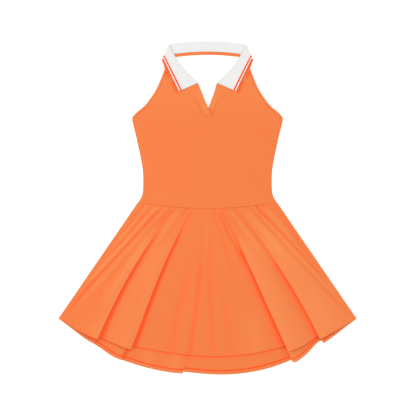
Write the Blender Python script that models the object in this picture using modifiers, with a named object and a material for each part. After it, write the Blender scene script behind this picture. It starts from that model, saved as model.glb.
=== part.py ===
# A tennis dress lying flat on its back: halter bodice with a knitted collar and a V placket, and a
# flared skirt whose back hangs lower than its front. +Z is up, towards the viewer, +Y towards the
# neck, and the floor is at z = 0. Values are in millimetres unless a name says otherwise.
import math
from collections import namedtuple

import bmesh
import bpy

MM = 0.001

# Walls and the gap that parts two pieces at a seam
CLOTH_WALL = 1.2
RIB_WALL = 1.5
BAND_WALL = 1.6
BINDING_WALL = 1.5
SEAM_GAP = 0.35

# Levels of the middle of a wall above the floor
BACK_LEVEL = CLOTH_WALL / 2
FRONT_LEVEL = 2.2
STRAP_LEVEL = 4.35
BODICE_CROWN = 1.5
STRAP_RISE_START = 225.0
STRAP_RISE_RUN = 75.0

# Waist seam: it dips from the sides to the middle
WAIST_HALF = 175.5
WAIST_MIDDLE_Y = -2.2
WAIST_SIDE_RISE = 16.0
SKIRT_TOP_HALF = 176.5

# Bodice: a row gives the panel's edge at the centre line and at the side seam, waist first
BodiceRow = namedtuple("BodiceRow", "inner_x inner_y side_x side_y")
BODICE_ROWS = [
    BodiceRow(0.0, 28.0, 165.5, 34.0),
    BodiceRow(0.0, 62.0, 163.4, 62.0),
    BodiceRow(0.0, 98.0, 164.3, 94.0),
    BodiceRow(0.0, 134.0, 169.2, 125.0),
    BodiceRow(0.0, 168.0, 175.8, 156.0),
    BodiceRow(0.0, 198.0, 181.8, 183.0),
    BodiceRow(0.0, 220.0, 186.6, 202.0),
    BodiceRow(0.0, 234.8, 189.6, 214.5),
    BodiceRow(5.6, 234.8, 190.4, 219.0),
]
NOTCH_HALF = 11.4
NOTCH_Y = 234.8
BODICE_COLUMNS = 8
WAIST_CURVE_ROWS = 3
STRAP_ROWS = 7

# Armhole edge from the underarm to the side neck
ARMHOLE = [
    (192.0, 226.7), (177.0, 246.0), (159.0, 261.0), (146.0, 276.0), (131.0, 299.0),
    (122.0, 319.0), (115.5, 339.0), (111.2, 356.0), (112.0, 368.0), (114.6, 378.0),
]
BINDING_WIDTH = 6.0
BINDING_STEPS = 2 * STRAP_ROWS

# Back bodice: its low upper edge is hidden by the front
BACK_TOP_MIDDLE_Y = 205.0
BACK_TOP_SIDE = (190.2, 219.0)

# Collar, for the side at +X: roll line from the front end to the side neck, leaf and stand
ROLL_FRONT = (23.9, 317.6)
ROLL_BEND = (72.3, 357.4)
SIDE_NECK = (100.3, 413.4)
LEAF_TIP = (72.1, 295.8)
LEAF_SIDE = (115.1, 380.4)
FALL_OFFSET = 2.7
STAND_OFFSET = 0.9
COLLAR_CORE_LEVEL = 3.45
STAND_FRONT = 5.0
STAND_BACK = 26.0
STAND_GROWTH_POWER = 0.8
FALL_STEPS = 4
ROLL_STEPS = 4
STAND_STEPS = 3
BACK_FALL = 32.5
BACK_TOP_Y = 422.8
BACK_TOP_SAG = 7.6
BACK_TOP_HALF = 97.8
BACK_TILT_DEG = 7.2
BACK_TILT_X = 78.0
LAST_FRONT_STATION = 0.98
CORNER_TURNS_DEG = [90.0, 60.0, 30.0, 0.0, -30.0, -60.0, -90.0]
BACK_STATIONS = [92.0, 84.0, 74.0, 60.0, 44.0, 28.0, 14.0, 0.0]
NECK_BAND_WIDTH = 8.0

# Placket bands: rows from the bottom up give where each edge runs. A row's x counts towards the
# band's own side, and lift is how far the band stands off the front's level.
BAND_COLUMNS = 4
BAND_CORNER_STATION = 0.17
BandRow = namedtuple("BandRow", "outer_y inner_x inner_y lift")
OVER_ROWS = [
    BandRow(235.2, -11.9, 235.2, 1.0),
    BandRow(243.5, -7.6, 244.2, 1.0),
    BandRow(255.5, -0.8, 256.0, 1.0),
    BandRow(272.2, 6.0, 271.8, 0.3),
    BandRow(289.0, 12.4, 287.5, 0.0),
    BandRow(307.5, 18.6, 303.0, 0.0),
]
UNDER_ROWS = [
    BandRow(235.2, -4.2, 235.2, -1.0),
    BandRow(243.5, -0.9, 244.2, -1.0),
    BandRow(255.5, 3.5, 256.0, -0.9),
    BandRow(272.2, 9.2, 271.8, -0.2),
    BandRow(289.0, 14.9, 287.5, 0.0),
    BandRow(307.5, 20.1, 303.0, 0.0),
]
BAND_INNER_TOP = (23.3, 316.2)

# Skirt. A fold's edge runs from the waist seam to its hem corner, bowed sideways by bulge.
# over says which side lies on top, depth scales how far the cloth doubles back, and jog is how much
# higher the hem of the lower layer lies.
HEM_CORNER = (379.3, -282.0)
Fold = namedtuple("Fold", "waist_x hem_x hem_y bulge over depth jog")
FRONT_FOLDS = [
    Fold(-79.2, -277.2, -332.8, -12.7, "left", 1.0, 6.5),
    Fold(-38.6, -198.7, -359.8, -7.4, "left", 1.0, 4.5),
    Fold(39.9, 204.8, -364.8, 0.0, "right", 1.2, 14.0),
    Fold(71.6, 286.8, -332.0, 17.8, "right", 1.0, 13.0),
]
BACK_FOLDS = [
    Fold(-79.2, -287.8, -345.6, -12.7, "left", 1.0, 0.0),
    Fold(-38.6, -218.9, -386.6, -7.4, "left", 1.0, 0.0),
    Fold(-8.9, -63.5, -421.5, 7.1, "left", 1.0, 4.0),
    Fold(39.9, 217.2, -392.8, 0.0, "right", 1.0, 7.0),
    Fold(71.6, 294.4, -344.2, 17.8, "right", 1.0, 8.0),
]

# A gore lies between two folds: how many columns it has, and how far its hem bows below a straight
# line, with peak as the place of the deepest point from its left edge
Gore = namedtuple("Gore", "columns bow peak")
FRONT_GORES = [
    Gore(5, -4.0, 0.6), Gore(4, -2.0, 0.5), Gore(10, -31.0, 0.56), Gore(4, -6.5, 0.5),
    Gore(5, -1.5, 0.4),
]
BACK_GORES = [
    Gore(5, -3.0, 0.7), Gore(4, -3.4, 0.7), Gore(5, -6.5, 0.53), Gore(7, -22.7, 0.54),
    Gore(5, -4.5, 0.3), Gore(5, -1.0, 0.3),
]

# How a fold grows from the waist (down = 0) to the hem (down = 1): the angle that the cloth turns
# through, the length of each turn, and the run between the two turns
Growth = namedtuple("Growth", "down turn_deg arc run")
FRONT_GROWTH = [
    Growth(0.0, 0.0, 3.0, 3.0), Growth(0.08, 18.0, 3.2, 3.0), Growth(0.16, 50.0, 3.4, 3.0),
    Growth(0.25, 95.0, 3.7, 3.0), Growth(0.35, 140.0, 4.1, 3.6), Growth(0.45, 170.0, 4.6, 5.5),
    Growth(0.6, 180.0, 5.0, 9.0), Growth(1.0, 180.0, 5.6, 15.0),
]
BACK_GROWTH = [
    Growth(0.0, 0.0, 1.5, 1.5), Growth(0.35, 0.0, 1.5, 1.5), Growth(0.5, 60.0, 1.8, 1.5),
    Growth(0.65, 120.0, 2.3, 1.2), Growth(0.8, 170.0, 3.1, 2.0), Growth(1.0, 180.0, 3.3, 6.0),
]
TURN_STEPS = 4
RUN_STEPS = 2
SQUARE_BY = 0.2
FRONT_DOWN = [0.0, 0.05, 0.11, 0.18, 0.26, 0.35, 0.45, 0.56, 0.67, 0.78, 0.89, 1.0]
BACK_DOWN = [0.0, 0.12, 0.25, 0.37, 0.46, 0.55, 0.65, 0.76, 0.88, 1.0]
FOLD_REACH = 70.0
FRONT_LIFT = 4.6
LIFT_BY = 0.5
LIFT_SIDE_RUN = 50.0
RIPPLE_HEIGHT = 3.0
RIPPLE_PLACE = 0.4
RIPPLE_WIDTH = 0.13

ORANGE = (0.93, 0.22, 0.068, 1.0)
WHITE = (0.83, 0.83, 0.82, 1.0)


def smooth(t):
    t = min(max(t, 0.0), 1.0)
    return t * t * (3.0 - 2.0 * t)


def mix(a, b, t):
    return a + (b - a) * t


def mix_point(a, b, t):
    return (mix(a[0], b[0], t), mix(a[1], b[1], t))


def unit(x, y):
    length = math.hypot(x, y)
    return (x / length, y / length)


def along_points(points, t):
    """A point of the smooth curve through evenly counted points, at t from 0 to 1."""
    spans = len(points) - 1
    place = min(max(t, 0.0), 1.0) * spans
    index = min(int(place), spans - 1)
    f = place - index
    p0 = points[max(index - 1, 0)]
    p1 = points[index]
    p2 = points[index + 1]
    p3 = points[min(index + 2, spans)]
    return tuple(
        0.5 * (2 * b + (c - a) * f + (2 * a - 5 * b + 4 * c - d) * f * f + (3 * b - a - 3 * c + d) * f**3)
        for a, b, c, d in zip(p0, p1, p2, p3)
    )


def waist_y(x):
    return WAIST_MIDDLE_Y + WAIST_SIDE_RISE * (x / WAIST_HALF) ** 2


def front_level(x, y):
    """Height of the middle of the front's wall: crowned over the chest, higher at the straps."""
    rise = smooth((y - STRAP_RISE_START) / STRAP_RISE_RUN)
    crown = BODICE_CROWN * max(0.0, 1.0 - (x / WAIST_HALF) ** 2)
    return FRONT_LEVEL + crown * (1.0 - rise) + (STRAP_LEVEL - FRONT_LEVEL) * rise


def armhole_point(t, inset):
    """A point of the armhole edge, moved into the panel by inset."""
    x, y = along_points(ARMHOLE, t)
    before = along_points(ARMHOLE, t - 0.01)
    after = along_points(ARMHOLE, t + 0.01)
    dx, dy = unit(after[0] - before[0], after[1] - before[1])
    return (x - dy * inset, y + dx * inset)


# Side fold of the collar: the line from the side neck to the leaf's side corner
SIDE_DOWN = unit(LEAF_SIDE[0] - SIDE_NECK[0], LEAF_SIDE[1] - SIDE_NECK[1])
SIDE_OUT = (-SIDE_DOWN[1], SIDE_DOWN[0])
SIDE_FOLD_LENGTH = math.hypot(LEAF_SIDE[0] - SIDE_NECK[0], LEAF_SIDE[1] - SIDE_NECK[1])
SIDE_INSET = FALL_OFFSET + RIB_WALL / 2
SIDE_AXIS = (SIDE_NECK[0] - SIDE_OUT[0] * SIDE_INSET, SIDE_NECK[1] - SIDE_OUT[1] * SIDE_INSET)
SIDE_AXIS_END = (
    SIDE_AXIS[0] + SIDE_DOWN[0] * SIDE_FOLD_LENGTH,
    SIDE_AXIS[1] + SIDE_DOWN[1] * SIDE_FOLD_LENGTH,
)

# A station is one cross section of the collar: where its roll is, which way its width runs, the
# turn of its thickness (90 up, -90 down), the width of the fall and the height of the stand
Station = namedtuple("Station", "x y down_x down_y turn fall stand")


def stand_height(s):
    return STAND_FRONT + (STAND_BACK - STAND_FRONT) * s**STAND_GROWTH_POWER


def front_station(s):
    inner = mix_point(ROLL_FRONT, ROLL_BEND, s)
    roll = mix_point(inner, mix_point(ROLL_BEND, SIDE_AXIS, s), s)
    edge = mix_point(LEAF_TIP, SIDE_AXIS_END, s)
    down = unit(edge[0] - roll[0], edge[1] - roll[1])
    width = math.hypot(edge[0] - roll[0], edge[1] - roll[1])
    return Station(roll[0], roll[1], down[0], down[1], math.pi / 2, width, stand_height(s))


def corner_station(turn_deg):
    turn = math.radians(turn_deg)
    return Station(*SIDE_AXIS, *SIDE_DOWN, turn, SIDE_FOLD_LENGTH, STAND_BACK)


def back_station(x):
    blend = smooth((x - BACK_TILT_X) / (SIDE_AXIS[0] - BACK_TILT_X))
    y = mix(BACK_TOP_Y - BACK_TOP_SAG * (x / BACK_TOP_HALF) ** 2, SIDE_AXIS[1], blend)
    tilt = -math.radians(BACK_TILT_DEG) * min(x / BACK_TILT_X, 1.0)
    down = unit(mix(math.sin(tilt), SIDE_DOWN[0], blend), mix(-math.cos(tilt), SIDE_DOWN[1], blend))
    fall = mix(BACK_FALL, SIDE_FOLD_LENGTH, blend)
    return Station(x, y, down[0], down[1], -math.pi / 2, fall, STAND_BACK)


def station_point(station, width, offset):
    """The point that lies width below the roll and offset out from the collar's core."""
    out = offset * math.cos(station.turn)
    return (
        station.x + station.down_x * width + SIDE_OUT[0] * out,
        station.y + station.down_y * width + SIDE_OUT[1] * out,
        COLLAR_CORE_LEVEL + offset * math.sin(station.turn),
    )


def strap_station(row):
    """The station where a row of the strap meets the collar, counted from the placket band."""
    return mix(BAND_CORNER_STATION, LAST_FRONT_STATION, row / STRAP_ROWS)


# The collar's sections stand where the band's columns and the strap's rows meet its seam
FRONT_SECTIONS = [BAND_CORNER_STATION * i / (BAND_COLUMNS - 1) for i in range(BAND_COLUMNS - 1)]
FRONT_SECTIONS += [strap_station(row) for row in range(STRAP_ROWS + 1)]
COLLAR_STATIONS = (
    [front_station(s) for s in FRONT_SECTIONS]
    + [corner_station(turn) for turn in CORNER_TURNS_DEG]
    + [back_station(x) for x in BACK_STATIONS]
)


def neck_seam_point(s, gap):
    """The seam under the collar, moved gap into the bodice."""
    station = front_station(s)
    x, y, _ = station_point(station, station.stand + gap, STAND_OFFSET)
    return (x, y)


BAND_SEAM_TOP = neck_seam_point(BAND_CORNER_STATION, SEAM_GAP)


def band_seam_point(y, gap):
    """The straight seam between bodice and placket band, moved gap into the bodice."""
    t = (y - NOTCH_Y) / (BAND_SEAM_TOP[1] - NOTCH_Y)
    return (mix(NOTCH_HALF, BAND_SEAM_TOP[0], t) + gap, y)


def fabric(name, colour, roughness):
    material = bpy.data.materials.new(name)
    material.use_nodes = True
    shader = material.node_tree.nodes["Principled BSDF"]
    shader.inputs["Base Color"].default_value = colour
    shader.inputs["Roughness"].default_value = roughness
    shader.inputs["Metallic"].default_value = 0.0
    return material


def cloth_piece(name, columns, rows, place, wall, material, mirrored=False):
    """A grid whose points go to place(column, row), then a wall of even thickness round it."""
    shape = bmesh.new()
    bmesh.ops.create_grid(shape, x_segments=columns, y_segments=rows, size=1.0)
    for vert in shape.verts:
        column = round((vert.co.x + 1.0) / 2.0 * columns)
        row = round((vert.co.y + 1.0) / 2.0 * rows)
        vert.co = [value * MM for value in place(column, row)]
    mesh = bpy.data.meshes.new(name)
    shape.to_mesh(mesh)
    shape.free()
    mesh.materials.append(material)
    mesh.shade_smooth()
    piece = bpy.data.objects.new(name, mesh)
    dress.objects.link(piece)
    if mirrored:
        mirror = piece.modifiers.new("Other half", "MIRROR")
        mirror.merge_threshold = 0.0001
    solid = piece.modifiers.new("Wall", "SOLIDIFY")
    solid.thickness = wall * MM
    solid.offset = 0.0
    return piece


def front_bodice_edges(row):
    """The inner and the outer edge of the front bodice at a row, waist first."""
    if row == 0:
        return (0.0, waist_y(0.0) + SEAM_GAP / 2), (WAIST_HALF, waist_y(WAIST_HALF) + SEAM_GAP / 2)
    if row <= len(BODICE_ROWS):
        entry = BODICE_ROWS[row - 1]
        return (entry.inner_x, entry.inner_y), (entry.side_x, entry.side_y)
    step = row - len(BODICE_ROWS) - 1
    outer = armhole_point(step / BINDING_STEPS, BINDING_WIDTH + SEAM_GAP)
    if step <= STRAP_ROWS:
        inner = band_seam_point(mix(NOTCH_Y, BAND_SEAM_TOP[1], step / STRAP_ROWS), SEAM_GAP)
    else:
        inner = neck_seam_point(strap_station(step - STRAP_ROWS), SEAM_GAP)
    return inner, outer


def build_front_bodice():
    rows = len(BODICE_ROWS) + 1 + BINDING_STEPS

    def place(column, row):
        inner, outer = front_bodice_edges(row)
        u = column / BODICE_COLUMNS
        x, y = mix_point(inner, outer, u)
        from_waist = min(row / WAIST_CURVE_ROWS, 1.0)
        y += (waist_y(x) - mix(waist_y(0.0), waist_y(WAIST_HALF), u)) * (1.0 - from_waist)
        return (x, y, front_level(x, y))

    cloth_piece("front_bodice", BODICE_COLUMNS, rows, place, CLOTH_WALL, orange, mirrored=True)


def build_back_bodice():
    sides = [(WAIST_HALF, waist_y(WAIST_HALF) + SEAM_GAP / 2)]
    sides += [(row.side_x, row.side_y) for row in BODICE_ROWS[:-1]]
    sides += [BACK_TOP_SIDE]
    rows = len(sides) - 1

    def place(column, row):
        u = column / BODICE_COLUMNS
        x = sides[row][0] * u
        middle = mix(WAIST_MIDDLE_Y + SEAM_GAP / 2, BACK_TOP_MIDDLE_Y, row / rows)
        y = middle + (sides[row][1] - middle) * u * u
        return (x, y, BACK_LEVEL)

    cloth_piece("back_bodice", BODICE_COLUMNS, rows, place, CLOTH_WALL, orange, mirrored=True)


def build_placket_band(name, side, rows):
    def place(column, row):
        u = column / BAND_COLUMNS
        if row < len(rows):
            entry = rows[row]
            outer = band_seam_point(entry.outer_y, 0.0)
            x, y = mix_point(outer, (entry.inner_x, entry.inner_y), u)
            lift = entry.lift
        else:
            lift = 0.0
            if column == BAND_COLUMNS:
                x, y = BAND_INNER_TOP
            else:
                x, y = neck_seam_point(FRONT_SECTIONS[BAND_COLUMNS - 1 - column], SEAM_GAP)
        return (side * x, y, front_level(x, y) + lift)

    cloth_piece(name, BAND_COLUMNS, len(rows), place, BAND_WALL, orange)


def build_armhole_binding(name, side):
    columns = 3

    def place(column, row):
        x, y = armhole_point(row / BINDING_STEPS, BINDING_WIDTH * column / columns)
        return (side * x, y, front_level(x, y))

    cloth_piece(name, columns, BINDING_STEPS, place, BINDING_WALL, orange)


def collar_profile(station):
    """Places (width, offset) across the rib, from the edge of the fall over the roll to the seam."""
    middle = (FALL_OFFSET + STAND_OFFSET) / 2
    radius = (FALL_OFFSET - STAND_OFFSET) / 2
    places = [(mix(station.fall, radius, i / FALL_STEPS), FALL_OFFSET) for i in range(FALL_STEPS)]
    for i in range(ROLL_STEPS + 1):
        angle = math.pi * i / ROLL_STEPS
        places.append((radius - radius * math.sin(angle), middle + radius * math.cos(angle)))
    for i in range(STAND_STEPS):
        places.append((mix(radius, station.stand, (i + 1) / STAND_STEPS), STAND_OFFSET))
    return places


def build_collar():
    profiles = [collar_profile(station) for station in COLLAR_STATIONS]

    def place(column, row):
        return station_point(COLLAR_STATIONS[row], *profiles[row][column])

    columns = len(profiles[0]) - 1
    cloth_piece("collar", columns, len(profiles) - 1, place, RIB_WALL, white, mirrored=True)


def build_neck_band():
    stations = COLLAR_STATIONS[len(FRONT_SECTIONS):]
    columns = 2

    def place(column, row):
        station = stations[row]
        width = station.stand + SEAM_GAP + NECK_BAND_WIDTH * column / columns
        return station_point(station, width, STAND_OFFSET)

    cloth_piece("neck_band", columns, len(stations) - 1, place, CLOTH_WALL, orange, mirrored=True)


def growth_at(growth, down):
    """The turn, arc and run of a fold at this share of the way down."""
    for upper, lower in zip(growth, growth[1:]):
        if down <= lower.down:
            break
    f = (down - upper.down) / (lower.down - upper.down)
    return [mix(a, b, f) for a, b in zip(upper[1:], lower[1:])]


def fold_profile(growth, down, depth):
    """Places (across, height) of a rolled fold, from its upper layer to the layer under it."""
    turn_deg, arc, run = growth_at(growth, down)
    turn = math.radians(turn_deg)
    run *= depth
    steps = [(arc / TURN_STEPS, 1)] * TURN_STEPS + [(run / RUN_STEPS, 0)] * RUN_STEPS
    steps += [(arc / TURN_STEPS, -1)] * TURN_STEPS
    across, height, heading = 0.0, 0.0, 0.0
    places = [(across, height)]
    for length, bend in steps:
        change = bend * turn / TURN_STEPS
        across += length * math.cos(heading + change / 2)
        height -= length * math.sin(heading + change / 2)
        heading += change
        places.append((across, height))
    edge = max(place[0] for place in places[: TURN_STEPS + 1])
    return [(across - edge, height - places[-1][1]) for across, height in places]


def fold_edge(fold, down):
    """A point of the fold's edge, and the direction square to it towards +X."""
    top = waist_y(fold.waist_x)
    x = mix(fold.waist_x, fold.hem_x, down) + fold.bulge * 4.0 * down * (1.0 - down)
    y = mix(top, fold.hem_y, down)
    along = unit(fold.hem_x - fold.waist_x + fold.bulge * 4.0 * (1.0 - 2.0 * down), fold.hem_y - top)
    return (x, y), (-along[1], along[0])


def fold_points(fold, growth, down):
    """Points (x, y, height) across a fold, from left to right."""
    (x, y), side = fold_edge(fold, down)
    places = []
    for step, (across, height) in enumerate(fold_profile(growth, down, fold.depth)):
        under = min(max((step - TURN_STEPS) / RUN_STEPS, 0.0), 1.0)
        places.append((across, height, fold.jog * under * down**2))
    if fold.over == "right":
        places = [(-across, height, jog) for across, height, jog in reversed(places)]
    square = smooth(down / SQUARE_BY)
    points = []
    for across, height, jog in places:
        px = x + across * mix(1.0, side[0], square)
        py = y + mix(waist_y(px) - waist_y(x), side[1] * across, square)
        points.append((px - side[1] * jog, py + side[0] * jog, height))
    return points


def side_edge(side, down):
    top = waist_y(SKIRT_TOP_HALF) - SEAM_GAP
    return (side * mix(SKIRT_TOP_HALF, HEM_CORNER[0], down), mix(top, HEM_CORNER[1], down), 0.0)


def bow_shape(f, peak):
    """Zero at both ends and 1 at peak."""
    power = math.log(0.5) / math.log(peak)
    g = f**power
    return 4.0 * g * (1.0 - g)


def skirt_row(folds, gores, growth, down):
    """One row of a skirt panel: (x, y, height above its level), from left to right."""
    spans = [[side_edge(-1, down)]]
    spans += [fold_points(fold, growth, down) for fold in folds]
    spans += [[side_edge(1, down)]]
    row = list(spans[0])
    for gore, left_span, right_span in zip(gores, spans, spans[1:]):
        left, right = left_span[-1], right_span[0]
        width = math.hypot(right[0] - left[0], right[1] - left[1])
        reach = min(FOLD_REACH, width)
        for i in range(1, gore.columns):
            f = i / gore.columns
            x, y = mix_point(left, right, f)
            y += gore.bow * bow_shape(f, gore.peak) * down**2
            y += (waist_y(x) - mix(waist_y(left[0]), waist_y(right[0]), f)) * (1.0 - down) ** 2
            height = left[2] * (1.0 - smooth(f * width / reach))
            height += right[2] * (1.0 - smooth((1.0 - f) * width / reach))
            row.append((x, y, height))
        row += right_span
    return [(x, y - SEAM_GAP * (1.0 - down), height) for x, y, height in row]


def build_front_skirt():
    skirt_rows = [skirt_row(FRONT_FOLDS, FRONT_GORES, FRONT_GROWTH, down) for down in FRONT_DOWN]
    middle = FRONT_FOLDS[1], FRONT_FOLDS[2]

    def place(column, row):
        down = FRONT_DOWN[row]
        x, y, height = skirt_rows[row][column]
        edge_x = side_edge(1, down)[0]
        lift = FRONT_LIFT * smooth(down / LIFT_BY) * smooth((edge_x - abs(x)) / LIFT_SIDE_RUN)
        crown = BODICE_CROWN * max(0.0, 1.0 - (x / WAIST_HALF) ** 2) * (1.0 - smooth(down / LIFT_BY))
        left, right = (fold_edge(fold, down)[0][0] for fold in middle)
        from_ripple = abs((x - left) / (right - left) - RIPPLE_PLACE) / RIPPLE_WIDTH
        ripple = RIPPLE_HEIGHT * smooth(1.0 - from_ripple) * smooth(down)
        return (x, y, FRONT_LEVEL + crown + lift + height + ripple)

    columns = len(skirt_rows[0]) - 1
    cloth_piece("front_skirt", columns, len(FRONT_DOWN) - 1, place, CLOTH_WALL, orange)


def build_back_skirt():
    skirt_rows = [skirt_row(BACK_FOLDS, BACK_GORES, BACK_GROWTH, down) for down in BACK_DOWN]

    def place(column, row):
        x, y, height = skirt_rows[row][column]
        return (x, y, BACK_LEVEL + height)

    columns = len(skirt_rows[0]) - 1
    cloth_piece("back_skirt", columns, len(BACK_DOWN) - 1, place, CLOTH_WALL, orange)


for old in list(bpy.data.objects):
    bpy.data.objects.remove(old, do_unlink=True)

dress = bpy.data.collections.new("tennis_dress")
bpy.context.scene.collection.children.link(dress)
orange = fabric("orange_knit", ORANGE, 0.75)
white = fabric("white_rib", WHITE, 0.8)

build_back_bodice()
build_back_skirt()
build_front_bodice()
build_front_skirt()
build_placket_band("placket_under", 1, UNDER_ROWS)
build_placket_band("placket_over", -1, OVER_ROWS)
build_armhole_binding("armhole_binding_left", -1)
build_armhole_binding("armhole_binding_right", 1)
build_neck_band()
build_collar()
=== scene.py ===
import math

import bmesh
import bpy
import numpy as np
from mathutils import Matrix, Vector


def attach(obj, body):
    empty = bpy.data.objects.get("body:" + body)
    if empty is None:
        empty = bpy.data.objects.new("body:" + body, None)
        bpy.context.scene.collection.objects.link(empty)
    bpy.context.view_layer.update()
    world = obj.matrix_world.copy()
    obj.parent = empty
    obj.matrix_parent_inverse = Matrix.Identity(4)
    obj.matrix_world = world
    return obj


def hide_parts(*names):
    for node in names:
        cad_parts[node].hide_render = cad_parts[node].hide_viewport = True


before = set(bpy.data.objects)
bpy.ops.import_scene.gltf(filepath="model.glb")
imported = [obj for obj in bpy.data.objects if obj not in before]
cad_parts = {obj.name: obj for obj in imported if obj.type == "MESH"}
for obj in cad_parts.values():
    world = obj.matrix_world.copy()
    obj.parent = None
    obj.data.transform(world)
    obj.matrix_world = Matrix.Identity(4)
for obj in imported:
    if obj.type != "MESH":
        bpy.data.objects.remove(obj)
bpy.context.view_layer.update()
print("frame loaded")

mm = 0.001  # the shapes below are worked out in millimetres
probe = 0.01  # the step over which a line's direction is measured
creaseShare = {"trough": 0.14, "ridge": 0.28}  # how much painted shade a millimetre of trough, and painted highlight a millimetre of ridge, puts on the cloth


def smooth(t):
    t = np.clip(t, 0.0, 1.0)
    return t * t * (3.0 - 2.0 * t)


def mix(a, b, t):
    return a + (b - a) * t


def near(distance, reach):
    # 1 at no distance, 0 from the reach on
    return 1.0 - smooth(distance / reach)


def mixPoint(a, b, t):
    return mix(np.array(a), np.array(b), t)


def unit(vector):
    return np.array(vector) / math.hypot(*vector)


def spanOf(points, t):
    # the span of a line of points that t from 0 to 1 falls in, and the share of that span
    place = min(max(t, 0.0), 1.0) * (len(points) - 1)
    index = min(int(place), len(points) - 2)
    return index, place - index


def alongPoints(points, t):
    # a smooth curve through evenly counted points
    index, f = spanOf(points, t)
    last = len(points) - 1
    a, b, c, d = (np.array(points[min(max(i, 0), last)]) for i in range(index - 1, index + 3))
    return 0.5 * (2 * b + (c - a) * f + (2 * a - 5 * b + 4 * c - d) * f**2 + (3 * b - a - 3 * c + d) * f**3)


def alongLine(points, t):
    # the same along straight spans
    index, f = spanOf(points, t)
    return mixPoint(points[index], points[index + 1], f)


def runAlong(points):
    # how far along a line of points each of them is
    return np.concatenate([[0.0], np.cumsum(np.linalg.norm(np.diff(points, axis=0), axis=1))])


def creaseShape(x, y, path, widths, fades):
    # 1 along the middle of a crease, less to its sides and where it fades
    path = np.array(path, float)
    steps = np.diff(path, axis=0)
    lengths = np.hypot(*steps.T)
    before = np.concatenate([[0.0], np.cumsum(lengths)])
    nearest, across, along = np.full(x.shape, np.inf), np.zeros(x.shape), np.zeros(x.shape)
    for start, step, length, run in zip(path, steps / lengths[:, None], lengths, before):
        dx, dy = x - start[0], y - start[1]
        t = np.clip(dx * step[0] + dy * step[1], 0.0, length)
        gap = np.hypot(dx - t * step[0], dy - t * step[1])
        closer = gap < nearest
        nearest = np.where(closer, gap, nearest)
        across = np.where(closer, np.sign(step[0] * dy - step[1] * dx) * gap, across)
        along = np.where(closer, run + t, along)
    share = along / before[-1]
    strength = smooth(share / fades[0])
    if fades[1]:
        strength = strength * smooth((1.0 - share) / fades[1])
    width = np.where(across > 0, widths[1], widths[0])
    return strength * np.exp(-((across / width) ** 2))


def addCreases(z, paintedShading, x, y, creases, strength=1.0):
    # Each crease is a row: its height, its width on the left and on the right, the shares of its length
    # over which it fades in and out, how strongly it paints shade or highlight on the cloth, and the points
    # of its path.
    # Troughs get painted shade, redder, and ridges a painted highlight, paler: painted shading above 0 is
    # redder.
    for height, widths, fades, shadeGain, *path in creases:
        rise = height * creaseShape(x, y, path, widths, fades) * strength
        share = np.where(rise < 0.0, creaseShare["trough"], creaseShare["ridge"])
        z, paintedShading = z + rise, paintedShading - rise * share * shadeGain
    return z, paintedShading


def flatPlaces(across, up):
    # the places of a strip's points in the flat cloth
    return np.stack(np.broadcast_arrays(across[None, :], up[:, None]), axis=-1)


def addGrid(shape, points, paintedShading, cut=None):
    # a grid with its points at the given places; cut is their places in the flat cloth, where they differ
    cut = points if cut is None else cut
    rows, columns = points.shape[0] - 1, points.shape[1] - 1
    layers = shape.verts.layers
    cutLayer = layers.float_vector.get("cut") or layers.float_vector.new("cut")
    # painted shading per point: painted shade above 0, painted highlight below 0
    paintedShadingLayer = layers.float.get("paintedShading") or layers.float.new("paintedShading")
    for vert in bmesh.ops.create_grid(shape, x_segments=columns, y_segments=rows, size=1.0)["verts"]:
        column = round((vert.co.x + 1.0) / 2.0 * columns)
        row = round((vert.co.y + 1.0) / 2.0 * rows)
        vert.co = points[row, column] * mm
        vert[cutLayer] = Vector((cut[row, column, 0] * mm, cut[row, column, 1] * mm, 0.0))
        vert[paintedShadingLayer] = paintedShading[row, column]


def newObject(name, data):
    made = bpy.data.objects.new(name, data)
    bpy.context.scene.collection.objects.link(made)
    return made


def meshObject(name, shape, material):
    mesh = bpy.data.meshes.new(name)
    shape.to_mesh(mesh)
    shape.free()
    mesh.materials.append(material)
    return newObject(name, mesh)


def finishPiece(name, shape, material, wall, node=None, merge=False):
    # closes a sheet with a wall of even thickness round it, or leaves the piece as it is when wall is 0
    if merge:
        bmesh.ops.remove_doubles(shape, verts=shape.verts, dist=cloth["mergeWithin"] * mm)
    if wall:
        bmesh.ops.recalc_face_normals(shape, faces=shape.faces)
    piece = meshObject(name, shape, material)
    piece.data.shade_smooth()
    if wall:
        solid = piece.modifiers.new("wall", "SOLIDIFY")
        solid.thickness = wall * mm
        solid.offset = 0.0
        solid.use_quality_normals = True
        piece.modifiers.new("evenNormals", "WEIGHTED_NORMAL")  # the thin rim doesn't darken the cloth's edge
    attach(piece, "root")
    if node:
        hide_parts(node)
    return piece


def joining(operation, swapped=False):
    # an operator of the sockets below, as a math node
    def join(self, *others):
        return self.joined(operation, *((*others, self) if swapped else (self, *others)))

    return join


class Value:
    # a socket that takes part in arithmetic
    __add__ = __radd__ = joining("ADD")
    __sub__, __rsub__ = joining("SUBTRACT"), joining("SUBTRACT", swapped=True)
    __mul__ = __rmul__ = joining("MULTIPLY")
    __truediv__ = joining("DIVIDE")
    sine, size, fraction = joining("SINE"), joining("ABSOLUTE"), joining("FRACT")

    def __init__(self, finish, socket):
        self.finish = finish
        self.socket = socket

    def joined(self, operation, *items):
        node = self.finish.node("ShaderNodeMath", {"operation": operation}, dict(enumerate(items)))
        return self.finish.value(node)

    def over(self, edge, soft):
        # 0 below the edge and 1 above it, over a soft width
        ramp = (self - edge) / soft + 0.5
        capped = ramp.joined("MINIMUM", ramp, 1.0)
        return capped.joined("MAXIMUM", capped, 0.0)


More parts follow.
